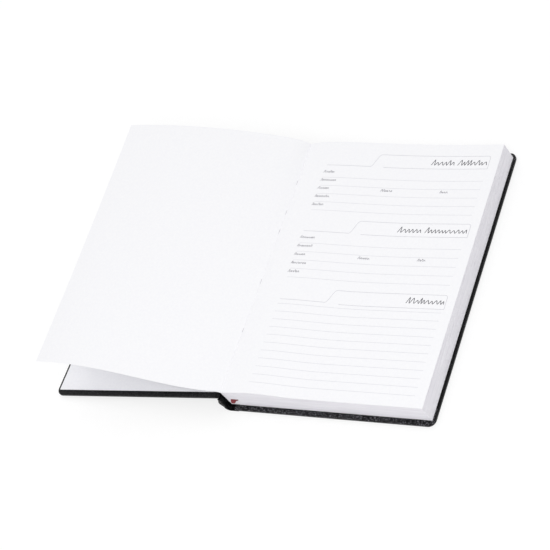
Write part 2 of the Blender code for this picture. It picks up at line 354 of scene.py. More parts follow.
class Stuff:
    """A material under way: its tree, its shader and the coordinates that its patterns read."""

    def __init__(self, name: str) -> None:
        """Start a material with a Principled shader.

        Args:
            name: the material's name.
        """
        self.material = bpy.data.materials.new(name)
        self.material.use_nodes = True
        self.tree = self.material.node_tree
        self.shader = self.tree.nodes["Principled BSDF"]
        self.place = add_node(self.tree, "ShaderNodeTexCoord").outputs["Object"]

    def set(self, **values: object) -> None:
        """Feed the shader's sockets, with the spaces of their names written as underscores."""
        for name, value in values.items():
            feed(self.shader, name.replace("_", " "), value)

    def coat(
        self,
        pattern: bpy.types.Node | bpy.types.NodeSocket,
        colours: Sequence[str],
        ends: Point = (0.3, 0.7),
        reliefs: Iterable[tuple[bpy.types.Node | bpy.types.NodeSocket, float]] = (),
    ) -> None:
        """Colour the shader along a pattern and press reliefs into it.

        Args:
            pattern: what the colour follows.
            colours: the hex colours of its low and of its high values.
            ends: the values between which the colour changes.
            reliefs: for each relief its height and its depth in millimetres.
        """
        ramp = add_node(self.tree, "ShaderNodeValToRGB", {"Fac": pattern})
        for stop, at, colour in zip(ramp.color_ramp.elements, ends, colours):
            stop.position = at
            stop.color = linear(colour)
        self.set(Base_Color=ramp)
        normal: dict[str, bpy.types.Node] = {}
        for height, depth_mm in reliefs:
            sockets = {"Height": height, "Strength": 1.0, "Distance": depth_mm * MM, **normal}
            normal = {"Normal": add_node(self.tree, "ShaderNodeBump", sockets)}
        self.set(**normal)


@dataclass(frozen=True)
class Leatherette:
    """Black leatherette, embossed under a grained roller.

    Soft pebbles with narrow creases. Their tops are painted paler, partly as wear and partly as painted
    sheen, most along the marked edges.
    """

    pebble_mm: float = 1.5
    crease_share: float = 0.3
    warp_mm: float = 1.0
    patch_mm: float = 1.9
    pore_mm: float = 0.4
    relief_mm: float = 0.32
    pore_relief_mm: float = 0.02
    gloss: float = 0.12
    roughness: Point = (0.48, 0.26)
    # The painted sheen and wear where no edge is marked, and the values between which the colour pales.
    plain_sheen_and_wear: float = 0.5
    sheen_and_wear_ends: Point = (0.22, 1.0)
    # The pale colour stands for wear and for painted sheen on the pebble tops.
    colours: tuple[str, str] = ("0A0A0C", "626166")

    def material(self) -> bpy.types.Material:
        """Make the material.

        Returns:
            The finished material.
        """
        stuff = Stuff("embossed_leatherette")
        tree, place = stuff.tree, stuff.place
        coarse = per_metre(2 * self.pebble_mm)
        drift = add_node(tree, "ShaderNodeTexNoise", {"Vector": place, "Scale": coarse})
        warp = add_node(tree, "ShaderNodeMapRange", {"Value": drift, "To Max": self.warp_mm * MM})
        moved = add_node(tree, "ShaderNodeVectorMath", {0: place, 1: warp})
        pebbles = add_node(
            tree, "ShaderNodeTexVoronoi", {"Vector": moved, "Scale": per_metre(self.pebble_mm)},
            feature="DISTANCE_TO_EDGE",
        ).outputs["Distance"]
        dome = add_node(
            tree, "ShaderNodeMapRange", {"Value": pebbles, "From Max": self.crease_share},
            interpolation_type="SMOOTHSTEP",
        )
        patches = add_node(tree, "ShaderNodeTexNoise", {"Vector": place, "Scale": per_metre(self.patch_mm)})
        pores = add_node(tree, "ShaderNodeTexNoise", {"Vector": place, "Scale": per_metre(self.pore_mm)})
        # Pebble tops are painted paler, more on marked edges: partly wear, partly painted sheen.
        tops = add_node(tree, "ShaderNodeMath", {0: dome, 1: patches}, operation="MULTIPLY")
        edges = add_node(tree, "ShaderNodeAttribute", attribute_name=SHEEN_AND_RUB).outputs["Fac"]
        sheen_and_wear_level = add_node(tree, "ShaderNodeMath", {0: edges, 1: self.plain_sheen_and_wear}, operation="ADD")
        sheen_and_wear_tops = add_node(tree, "ShaderNodeMath", {0: tops, 1: sheen_and_wear_level}, operation="MULTIPLY")
        low, high = self.roughness
        rough = add_node(tree, "ShaderNodeMapRange", {"Value": patches, "To Min": low, "To Max": high})
        stuff.set(IOR=1.5, Metallic=0.0, Roughness=rough, Specular_IOR_Level=self.gloss)
        reliefs = ((dome, self.relief_mm), (pores, self.pore_relief_mm))
        stuff.coat(sheen_and_wear_tops, self.colours, self.sheen_and_wear_ends, reliefs)
        return stuff.material


@dataclass(frozen=True)
class Paper:
    """Smooth uncoated paper: matt, a little blue-white, with a faint cloud of fibres."""

    name: str
    colours: tuple[str, str]
    cloud_mm: float = 1.6
    fibre_mm: float = 0.35
    relief_mm: float = 0.008

    def material(self) -> bpy.types.Material:
        """Make the material.

        Returns:
            The finished material.
        """
        stuff = Stuff(self.name)
        clouds = add_node(
            stuff.tree, "ShaderNodeTexNoise",
            {"Vector": stuff.place, "Scale": per_metre(self.cloud_mm), "Detail": 4.0},
        )
        fibres = add_node(
            stuff.tree, "ShaderNodeTexNoise",
            {"Vector": stuff.place, "Scale": per_metre(self.fibre_mm), "Detail": 3.0},
        )
        stuff.set(IOR=1.45, Metallic=0.0, Roughness=0.93, Specular_IOR_Level=0.25)
        stuff.coat(clouds, self.colours, reliefs=[(fibres, self.relief_mm)])
        return stuff.material


@dataclass(frozen=True)
class TrimmedEdges:
    """Guillotined page edges: hundreds of leaf edges show as fine grey and white lines.

    The real leaves are too thin to show at the render's size, so the lines are drawn about four times
    coarser.
    """

    line_mm: float = 0.4
    # How many times longer than wide a line is.
    line_run: float = 60.0
    relief_mm: float = 0.04
    colours: tuple[str, str] = ("E6E4EA", "F7F6FA")
    colour_ends: Point = (0.25, 0.75)

    def material(self) -> bpy.types.Material:
        """Make the material.

        Returns:
            The finished material.
        """
        stuff = Stuff("trimmed_page_edges")
        scale = [per_metre(self.line_mm * run) for run in (self.line_run, self.line_run, 1.0)]
        drawn_out = add_node(stuff.tree, "ShaderNodeMapping", {"Vector": stuff.place, "Scale": scale})
        lines = add_node(stuff.tree, "ShaderNodeTexNoise", {"Vector": drawn_out, "Scale": 1.0})
        stuff.set(IOR=1.45, Metallic=0.0, Roughness=0.95, Specular_IOR_Level=0.2)
        stuff.coat(lines, self.colours, self.colour_ends, [(lines, self.relief_mm)])
        return stuff.material


@dataclass(frozen=True)
class GreyBoard:
    """Pressed grey board: matt, flecked with darker fibres."""

    fleck_mm: float = 0.5
    relief_mm: float = 0.03
    colours: tuple[str, str] = ("857F78", "A29C93")

    def material(self) -> bpy.types.Material:
        """Make the material.

        Returns:
            The finished material.
        """
        stuff = Stuff("grey_board")
        flecks = add_node(
            stuff.tree, "ShaderNodeTexNoise",
            {"Vector": stuff.place, "Scale": per_metre(self.fleck_mm), "Detail": 5.0},
        )
        stuff.set(IOR=1.45, Metallic=0.0, Roughness=0.95)
        stuff.coat(flecks, self.colours, reliefs=[(flecks, self.relief_mm)])
        return stuff.material


@dataclass(frozen=True)
class Gauze:
    """Open-weave binding gauze soaked in glue: a cream grid of threads."""

    thread_mm: float = 0.9
    relief_mm: float = 0.1
    colours: tuple[str, str] = ("A89C7E", "E0D8C2")

    def material(self) -> bpy.types.Material:
        """Make the material.

        Returns:
            The finished material.
        """
        stuff = Stuff("binding_gauze")
        scale = WAVE_LENGTH * per_metre(self.thread_mm)
        waves = [
            add_node(
                stuff.tree, "ShaderNodeTexWave", {"Vector": stuff.place, "Scale": scale},
                bands_direction=axis,
            ).outputs["Fac"]
            for axis in ("Y", "Z")
        ]
        weave = add_node(stuff.tree, "ShaderNodeMath", {0: waves[0], 1: waves[1]}, operation="MAXIMUM")
        stuff.set(IOR=1.5, Metallic=0.0, Roughness=0.85)
        stuff.coat(weave, self.colours, reliefs=[(weave, self.relief_mm)])
        return stuff.material


@dataclass(frozen=True)
class RibbonSatin:
    """Woven rayon satin: dark red, with fine cross ribs and a soft sheen along the threads."""

    rib_mm: float = 0.42
    rib_waver: float = 0.6
    relief_mm: float = 0.05
    roughness: Point = (0.32, 0.5)
    colours: tuple[str, str] = ("5E0E18", "861C28")
    colour_ends: Point = (0.1, 0.9)

    def material(self) -> bpy.types.Material:
        """Make the material.

        Returns:
            The finished material.
        """
        stuff = Stuff("ribbon_satin")
        scale = WAVE_LENGTH * per_metre(self.rib_mm)
        ribs = add_node(
            stuff.tree, "ShaderNodeTexWave",
            {"Vector": stuff.place, "Scale": scale, "Distortion": self.rib_waver}, bands_direction="Y",
        ).outputs["Fac"]
        low, high = self.roughness
        rough = add_node(stuff.tree, "ShaderNodeMapRange", {"Value": ribs, "To Min": low, "To Max": high})
        stuff.set(IOR=1.5, Metallic=0.0, Roughness=rough, Sheen_Weight=0.35, Sheen_Roughness=0.4)
        stuff.coat(ribs, self.colours, self.colour_ends, [(ribs, self.relief_mm)])
        return stuff.material


@dataclass(frozen=True)
class Ink:
    """Offset ink soaked into the paper: matt, with a slightly uneven tone."""

    name: str
    colours: tuple[str, str]
    blot_mm: float = 0.6

    def material(self) -> bpy.types.Material:
        """Make the material.

        Returns:
            The finished material.
        """
        stuff = Stuff(self.name)
        blots = add_node(
            stuff.tree, "ShaderNodeTexNoise",
            {"Vector": stuff.place, "Scale": per_metre(self.blot_mm), "Detail": 3.0},
        )
        stuff.set(IOR=1.45, Metallic=0.0, Roughness=0.9, Specular_IOR_Level=0.2)
        stuff.coat(blots, self.colours)
        return stuff.material


@dataclass(frozen=True)
class Thread:
    """Linen sewing thread: off-white with a tight twist."""

    twist_mm: float = 0.5
    twist_run: Spot = (0.5, 1.0, 0.5)
    relief_mm: float = 0.06
    colours: tuple[str, str] = ("A9A8AE", "D6D5D9")

    def material(self) -> bpy.types.Material:
        """Make the material.

        Returns:
            The finished material.
        """
        stuff = Stuff("linen_thread")
        scale = [per_metre(self.twist_mm * run) for run in self.twist_run]
        drawn_out = add_node(stuff.tree, "ShaderNodeMapping", {"Vector": stuff.place, "Scale": scale})
        twist = add_node(
            stuff.tree, "ShaderNodeTexNoise", {"Vector": drawn_out, "Scale": 1.0, "Detail": 1.0},
        )
        stuff.set(IOR=1.5, Metallic=0.0, Roughness=0.8)
        stuff.coat(twist, self.colours, reliefs=[(twist, self.relief_mm)])
        return stuff.material


class Finishes:
    """Every material of the planner, made once."""

    def __init__(self) -> None:
        """Make the materials."""
        self.leatherette = Leatherette().material()
        self.page = Paper("page_paper", ("F8F8FB", "FBFBFD")).material()
        self.endpaper = Paper("endpaper", ("F5F5F9", "F9F9FC")).material()
        self.edges = TrimmedEdges().material()
        self.board = GreyBoard().material()
        self.gauze = Gauze().material()
        self.lining = Paper("lining_paper", ("BDAE92", "CDBFA4")).material()
        self.ribbon = RibbonSatin().material()
        self.rule_ink = Ink("rule_ink", ("DCDCE2", "E6E6EB")).material()
        self.tab_ink = Ink("tab_ink", ("C4C4CB", "D2D2D8")).material()
        self.heading_ink = Ink("heading_ink", ("34323C", "46444E")).material()
        self.label_ink = Ink("label_ink", ("74727C", "86848E")).material()
        self.thread = Thread().material()


def dress(obj: bpy.types.Object, material: bpy.types.Material) -> None:
    """Give an object one material."""
    obj.data.materials.clear()
    obj.data.materials.append(material)


def dress_node(node: str, material: bpy.types.Material) -> None:
    """Give a CAD node that stays in view its material."""
    dress(frame["nodes"][node], material)
    log.info("node %s dressed with %s", node, material.name)


def hand_over(
    obj: bpy.types.Object,
    material: bpy.types.Material,
    body: str | None = None,
    nodes: Iterable[str] = (),
) -> None:
    """Dress a new piece, hide the nodes it stands for, and let it ride a body.

    Args:
        obj: the finished piece.
        material: its finish.
        body: the body it rides, or none for a piece that rides no body.
        nodes: the CAD nodes that it stands for.
    """
    dress(obj, material)
    if nodes:
        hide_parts(*nodes)
    if body:
        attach(obj, body)
    log.info("piece %s, %d faces", obj.name, len(obj.data.polygons))


class Side(Enum):
    """Which half of the case a cover is."""

    FRONT = -1
    BACK = 1


@dataclass
class Cover:
    """One half of the case: a leatherette skin wrapped round a board, drawn round its hinge axis."""

    side: Side
    hinge: str
    body: str
    setback: float
    tilt: float
    # How much the edges' pebble tops are painted paler: partly wear, partly painted sheen.
    edge_rub: float
    corner_radius: float = 4.9
    edge_rounding: float = 0.8
    skin_thickness: float = 0.4
    turn_in: float = 13.0
    # The skin laps over the joint, and the lap is nicked back at the head.
    overhang: float = 2.0
    nick: float = 6.0
    corner_segments: int = 10
    edge_segments: int = 6
    # Faces that look down more than this get no painted sheen or wear.
    underside: float = -0.5

    def __post_init__(self) -> None:
        """Take the plan and the depth from the back cover, which lies flat."""
        low, high = (section_of(corner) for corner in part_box("back_cover_leatherette"))
        axis = section_of(joint("back_cover_hinge")["pos_m"])
        self.axis = section_of(joint(self.hinge)["pos_m"])
        self.start = low.x - axis.x - self.setback - self.overhang
        self.fore = high.x - axis.x - self.setback
        self.tail, self.head = low.y, high.y
        self.thickness = high.z
        self.axis_depth = axis.z

    @property
    def label(self) -> str:
        """The cover's plain name."""
        return self.side.name.lower()

    def point(self, reach: float, depth: float) -> Point:
        """Find a point of the cover's cross section.

        Args:
            reach: the distance along the cover from its hinge.
            depth: the height over its outer face.

        Returns:
            The point's x and z in the section frame.
        """
        across = self.side.value * reach
        rise = depth - self.axis_depth
        turned = Matrix.Rotation(self.tilt, 3, "Y") @ Vector((across, 0.0, rise))
        return self.axis.x + turned.x, self.axis.z + turned.z

    def build_skin(self) -> bpy.types.Object:
        """Model the skin: a box with rounded corners that laps over the joint and is nicked at the head.

        Returns:
            The skin, open inside for the board.
        """
        spine_x = self.side.value * self.start * MM
        fore_x = self.side.value * self.fore * MM
        nick_y = (self.head - self.nick) * MM
        base_z = -self.axis_depth * MM
        top_z = base_z + self.thickness * MM
        middle = ((spine_x + fore_x) / 2, (self.tail + self.head) / 2 * MM, (base_z + top_z) / 2)
        size = (abs(fore_x - spine_x), (self.head - self.tail) * MM, top_z - base_z)
        deselect()
        bpy.ops.mesh.primitive_cube_add(size=1.0, location=middle, scale=size)
        skin = claim(f"{self.label}_cover_skin")
        bpy.ops.object.transform_apply(location=True, rotation=True, scale=True)
        select_parts(skin, Part.FACE, lambda at, up: True)
        bpy.ops.mesh.bisect(plane_co=(0.0, nick_y, 0.0), plane_no=(0.0, 1.0, 0.0))
        deselect()
        for vert in skin.data.vertices:
            if abs(vert.co.x - spine_x) < NEAR and vert.co.y > nick_y + NEAR:
                vert.co.x += self.side.value * self.overhang * MM
        select_parts(
            skin, Part.EDGE,
            lambda at, run: abs(run.z) > NEAR and abs(at.x - fore_x) < NEAR and abs(at.y - nick_y) > NEAR,
        )
        bpy.ops.mesh.bevel(
            offset=self.corner_radius * MM, segments=self.corner_segments, profile=0.5, affect="EDGES",
        )
        lap = self.overhang * MM + NEAR
        select_parts(
            skin, Part.EDGE,
            lambda at, run: abs(run.z) < NEAR and abs(at.x - spine_x) > lap and abs(at.y - nick_y) > NEAR,
        )
        bpy.ops.mesh.bevel(
            offset=self.edge_rounding * MM, segments=self.edge_segments, profile=0.5, affect="EDGES",
        )
        bpy.ops.object.mode_set(mode="OBJECT")
        self.open_inside(skin, fore_x, top_z)
        apply_modifier(
            skin, "SOLIDIFY", thickness=self.skin_thickness * MM, offset=-1.0, use_even_offset=True,
        )
        turn = Matrix.Rotation(self.tilt, 4, "Y")
        skin.matrix_world = Matrix.Translation(section(self.axis.x, 0.0, self.axis.z)) @ turn
        finish_mesh(skin)
        self.paint_edge_sheen_and_rub(skin)
        return skin

    def open_inside(self, skin: bpy.types.Object, fore_x: float, top_z: float) -> None:
        """Cut the inner face away between the turn-ins.

        Args:
            skin: the closed box.
            fore_x: its fore edge, in metres from the hinge.
            top_z: its inner face, in metres from the hinge.
        """
        low_y = (self.tail + self.turn_in) * MM
        high_y = (self.head - self.turn_in) * MM
        inner_x = fore_x - self.side.value * self.turn_in * MM
        cuts = (
            ((0.0, low_y, 0.0), (0.0, 1.0, 0.0)),
            ((0.0, high_y, 0.0), (0.0, 1.0, 0.0)),
            ((inner_x, 0.0, 0.0), (1.0, 0.0, 0.0)),
        )
        for cut_at, cut_along in cuts:
            deselect()
            select_parts(skin, Part.FACE, lambda at, up: abs(at.z - top_z) < NEAR)
            bpy.ops.mesh.bisect(plane_co=cut_at, plane_no=cut_along)
        select_parts(
            skin, Part.FACE,
            lambda at, up: abs(at.z - top_z) < NEAR and low_y < at.y < high_y and abs(at.x) < abs(inner_x),
        )
        bpy.ops.mesh.delete(type="FACE")
        bpy.ops.object.mode_set(mode="OBJECT")

    def paint_edge_sheen_and_rub(self, skin: bpy.types.Object) -> None:
        """Mark the faces whose pebble tops are painted paler: the edges and turn-ins at the tail and the
        head. This stands partly for wear and partly for painted sheen where light falls on them.

        Args:
            skin: the finished skin.
        """
        middle = (self.tail + self.head) / 2
        reach = (self.head - self.tail) / 2 - self.turn_in
        rub = skin.data.attributes.new(SHEEN_AND_RUB, "FLOAT", "FACE")
        for value, face in zip(rub.data, skin.data.polygons):
            if abs(section_of(face.center).y - middle) > reach and face.normal.z > self.underside:
                value.value = self.edge_rub

    def dress(self, finishes: Finishes) -> None:
        """Build and finish the cover's pieces.

        Args:
            finishes: the planner's materials.
        """
        node = f"{self.label}_cover_leatherette"
        hand_over(self.build_skin(), finishes.leatherette, self.body, [node])
        dress_node(f"{self.label}_board", finishes.board)
        dress_node(f"{self.label}_pastedown", finishes.endpaper)


@dataclass
class Spine:
    """The stiff strip along the back of the block, its linings, and the soft joints to both covers."""

    back: Cover
    skin_thickness: float = 0.4
    joint_thickness: float = 0.34
    turn_in: float = 13.0
    end_rounding: float = 0.45
    end_segments: int = 5
    # The skin bulges outwards halfway up and stands over the board's two long edges by the lid.
    bulge: float = 1.9
    bulge_power: float = 1.6
    bulge_steps: int = 12
    lid: float = 0.12
    # The front joint's crease and its points, with heights from the strip's top edge. The rise is measured
    # across from the strip's middle line, and the rest from the gutter.
    crease_radius: float = 0.18
    crease_place: Point = (-0.85, 3.49)
    crease_steps: int = 24
    rise: tuple[Point, ...] = ((0.0, 0.0), (0.1, 0.75), (0.58, 1.3))
    climb: tuple[Point, ...] = ((-1.3, 1.67), (-1.0, 2.27), (-0.88, 2.9))
    inner_ends: tuple[Point, ...] = ((-2.6, 3.67), (-4.2, 3.54), (-5.6, 3.4))
    head_setback: float = 1.0
    # The rear joint's bend and the flat run after it.
    bend_steps: int = 14
    flat_step: float = 0.8
    # Where each joint starts and stops to bend, the front one from its crease.
    front_blend: tuple[Point, Point] = ((0.0, -0.17), (-0.15, 0.09))
    rear_blend: tuple[Point, Point] = ((-2.0, 1.0), (5.0, 0.2))

    def __post_init__(self) -> None:
        """Take the strip's place from the frame."""
        self.low, self.high = (section_of(corner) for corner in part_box("spine_leatherette"))
        self.middle = self.low.x + self.joint_thickness / 2
        self.crease = (self.crease_place[0], self.high.z + self.crease_place[1])

    def build_strip(self) -> bpy.types.Object:
        """Model the spine's skin: a box open inside, bulged outwards, with its ends rounded.

        Returns:
            The skin of the strip.
        """
        size = self.high - self.low + Vector((0.0, 0.0, 2 * self.lid))
        outer_x, inner_x = (section(x, 0.0, 0.0).x for x in (self.low.x, self.high.x))
        deselect()
        bpy.ops.mesh.primitive_cube_add(
            size=1.0, location=section(*((self.low + self.high) / 2)), scale=size * MM,
        )
        strip = claim("spine_strip_skin")
        bpy.ops.object.transform_apply(location=True, rotation=True, scale=True)
        select_parts(strip, Part.EDGE, lambda at, run: abs(run.z) > NEAR)
        bpy.ops.mesh.bevel(
            offset=self.end_rounding * MM, segments=self.end_segments, profile=0.5, affect="EDGES",
        )
        for z in steps_between(self.low.z, self.high.z, size.z / self.bulge_steps):
            select_parts(strip, Part.FACE, lambda at, up: True)
            bpy.ops.mesh.bisect(plane_co=section(0.0, 0.0, z), plane_no=(0.0, 0.0, 1.0))
        deselect()
        for vert in strip.data.vertices:
            height = (vert.co.z / MM - self.low.z + self.lid) / size.z
            outward = (inner_x - vert.co.x) / (inner_x - outer_x)
            vert.co.x -= self.bulge * MM * outward * max(0.0, math.sin(math.pi * height)) ** self.bulge_power
        cuts = [section(0.0, y, 0.0) for y in (self.low.y + self.turn_in, self.high.y - self.turn_in)]
        for cut_at in cuts:
            select_parts(strip, Part.FACE, lambda at, up: abs(at.x - inner_x) < NEAR)
            bpy.ops.mesh.bisect(plane_co=cut_at, plane_no=(0.0, 1.0, 0.0))
        select_parts(
            strip, Part.FACE, lambda at, up: abs(at.x - inner_x) < NEAR and cuts[0].y < at.y < cuts[1].y,
        )
        bpy.ops.mesh.delete(type="FACE")
        bpy.ops.object.mode_set(mode="OBJECT")
        apply_modifier(
            strip, "SOLIDIFY", thickness=self.skin_thickness * MM, offset=-1.0, use_even_offset=True,
        )
        finish_mesh(strip)
        return strip

    def front_path(self) -> list[Point]:
        """Draw the middle line of the front joint.

        Returns:
            Points up beside the block, round a tight crease and back into the cover.
        """
        low = self.high.z
        rise = [(self.middle + x, low + z) for x, z in self.rise]
        climb = [(x, low + z) for x, z in self.climb]
        fold = arc(self.crease, self.crease_radius, -90.0, 90.0, self.crease_steps)
        inner = [(x, low + z) for x, z in self.inner_ends]
        return rise + climb + fold + inner

    def rear_path(self) -> list[Point]:
        """Draw the middle line of the rear joint.

        Returns:
            Points of a wide bend from the spine down to the back cover.
        """
        radius = self.low.z - self.joint_thickness / 2
        bend = arc((self.middle + radius, self.low.z), radius, 180.0, 270.0, self.bend_steps)
        end = self.back.axis.x + self.back.start + self.back.overhang
        flat = [(x, bend[-1][1]) for x in steps_between(bend[-1][0], end, self.flat_step)[1:]]
        return bend + flat

    def dress(self, finishes: Finishes) -> None:
        """Build and finish the spine's pieces.

        Args:
            finishes: the planner's materials.
        """
        leather = finishes.leatherette
        hand_over(self.build_strip(), leather, "text_block", ["spine_leatherette"])
        head = self.high.y - self.head_setback
        front = swept("front_joint", self.front_path(), self.joint_thickness, self.low.y, head)
        hand_over(front, leather, nodes=["front_joint_leatherette"])
        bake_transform(front)
        rear = swept("rear_joint", self.rear_path(), self.joint_thickness, self.low.y, self.high.y)
        hand_over(rear, leather, nodes=["rear_joint_leatherette"])
        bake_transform(rear)
        dress_node("spine_board", finishes.board)
        dress_node("mull", finishes.gauze)
        dress_node("spine_lining", finishes.lining)


@dataclass(frozen=True)
class Arch:
    """How the open leaves arch, in millimetres.

    Of two values the first is the tail's and the second the head's.
    """

    cover: Cover
    form_low: float
    page_width: float
    # The right-hand page: its lift in the gutter and the hump beside it.
    gutter_lift: Point = (0.5, 4.2)
    hump_height: Point = (2.4, 3.6)
    hump_reach: Point = (62.0, 138.0)
    hump_peak: float = 25.0
    # The turned leaf: its rise and reach at the fore edge, and the short lip where it leaves the gutter.
    rise: Point = (37.2, 18.8)
    reach: Point = (138.5, 141.5)
    lip: float = 4.2
    lip_run: Point = (1.1, 4.0)
    curl: float = 0.9
    # The front cover's depth with its endpapers, and the gap that the turned leaf keeps from it.
    lined_depth: float = 3.2
    gap: float = 0.2

    def page(self, x: float, v: float) -> float:
        """Find the height of the right-hand page over its flat part.

        Args:
            x: the distance from the gutter.
            v: the share of the way from the tail to the head.

        Returns:
            The height in millimetres.
        """
        reach = lerp(self.hump_reach, v)
        if x >= reach:
            return 0.0
        power = math.log(0.5) / math.log(self.hump_peak / reach)
        hump = lerp(self.hump_height, v) * math.sin(math.pi * (x / reach) ** power) ** 2
        return lerp(self.gutter_lift, v) * (1 - x / reach) ** 2 + hump

    def over_cover(self, x: float, depth: float) -> float:
        """Height of a level over the open front cover, at a distance x left of the gutter."""
        return self.cover.point(self.cover.axis.x + x, depth)[1]

    def turned(self, x: float, v: float) -> float:
        """Find the height of the turned leaf's underside.

        Args:
            x: the distance left of the gutter.
            v: the share of the way from the tail to the head.

        Returns:
            The height over the table in millimetres.
        """
        start = self.form_low + lerp(self.gutter_lift, v)
        share = math.sin(math.pi / 2 * min(1.0, x / self.reach[0]) ** self.curl) ** 2
        tail = self.over_cover(x, self.lined_depth) + self.gap + self.rise[0] * share
        tail = start + (tail - start) * (1 - math.exp(-x / self.lip_run[0]))
        head = start + self.lip * (1 - math.exp(-x / self.lip_run[1]))
        head += (self.rise[1] + self.gutter_lift[1]) * (1 - (1 - min(1.0, x / self.reach[1])) ** 2)
        return lerp((tail, head), v)


@dataclass
class Leaves:
    """The loose leaves of the opening: the form leaf on the right, the turned leaf and the flyleaf left."""

    arch: Arch
    page_height: float
    thickness: float = 0.15
    start: float = 0.02
    columns: int = 84
    rows: int = 44
    # Columns crowd towards the gutter, where a leaf bends most.
    crowd: float = 1.6
    # What is left of an arch in the closed planner, and the turned leaf's height over the block there.
    flat_share: float = 0.002
    closed_rise: float = 0.27
    # How the flyleaf leaves the gutter.
    flyleaf_start: float = 0.05
    flyleaf_drop: float = 0.2
    flyleaf_run: float = 1.1
    flyleaf_rows: int = 6

    def build_form(self) -> bpy.types.Object:
        """Lay the right-hand page over the block's hump.

        Returns:
            The page.
        """
        def place(across: float, along: float, through: float) -> Spot:
            """Set a point of the page.

            Args:
                across: the share of the way from the gutter.
                along: the share of the way from the tail.
                through: nought on the underside, one on top.

            Returns:
                The section point.
            """
            x = lerp((self.start, self.arch.page_width), across ** self.crowd)
            z = self.arch.form_low + self.arch.page(x, along) + through * self.thickness
            return x, along * self.page_height, z

        return slab("form_page", self.columns, self.rows, place)

    def build_turned(self) -> bpy.types.Object:
        """Lift the turned leaf from the gutter over the open cover.

        Returns:
            The leaf.
        """
        def place(across: float, along: float, through: float) -> Spot:
            """Set a point of the leaf.

            Args:
                across: the share of the way from the gutter.
                along: the share of the way from the tail.
                through: nought on the underside, one on top.

            Returns:
                The section point.
            """
            x = lerp((self.start, lerp(self.arch.reach, along)), across ** self.crowd)
            z = self.arch.turned(x, along) + through * self.thickness
            return -x, along * self.page_height, z

        return slab("turned_page", self.columns, self.rows, place)

    def build_flyleaf(self) -> bpy.types.Object:
        """Lay the flyleaf from the gutter over the joint and along the open cover.

        Returns:
            The flyleaf.
        """
        reach = -section_of(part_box("front_flyleaf")[0]).x
        depth = self.arch.lined_depth - self.thickness
        gutter = self.arch.form_low - self.flyleaf_drop

        def place(across: float, along: float, through: float) -> Spot:
            """Set a point of the flyleaf.

            Args:
                across: the share of the way from the gutter.
                along: the share of the way from the tail.
                through: nought on the underside, one on top.

            Returns:
                The section point.
            """
            x = lerp((self.flyleaf_start, reach), across ** self.crowd)
            level = self.arch.over_cover(x, depth)
            z = gutter + (level - gutter) * (1 - math.exp(-x / self.flyleaf_run)) + through * self.thickness
            return -x, along * self.page_height, z

        return slab("front_free_endpaper", self.columns, self.flyleaf_rows, place)

    def flatten_form(self, obj: bpy.types.Object) -> None:
        """Give a piece on the right-hand page its own mesh."""
        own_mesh(obj)

    def dress(self, finishes: Finishes) -> bpy.types.Object:
        """Build and finish the leaves.

        Args:
            finishes: the planner's materials.

        Returns:
            The right-hand page, for the print to lie on.
        """
        form = self.build_form()
        hand_over(form, finishes.page, "text_block", ["form_leaf"])

        turned = self.build_turned()
        hand_over(turned, finishes.page, "turned_leaf", ["title_leaf"])
        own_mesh(turned)

        flyleaf = self.build_flyleaf()
        hand_over(flyleaf, finishes.endpaper, "endleaf", ["front_flyleaf"])
        dress_node("back_flyleaf", finishes.endpaper)
        return form


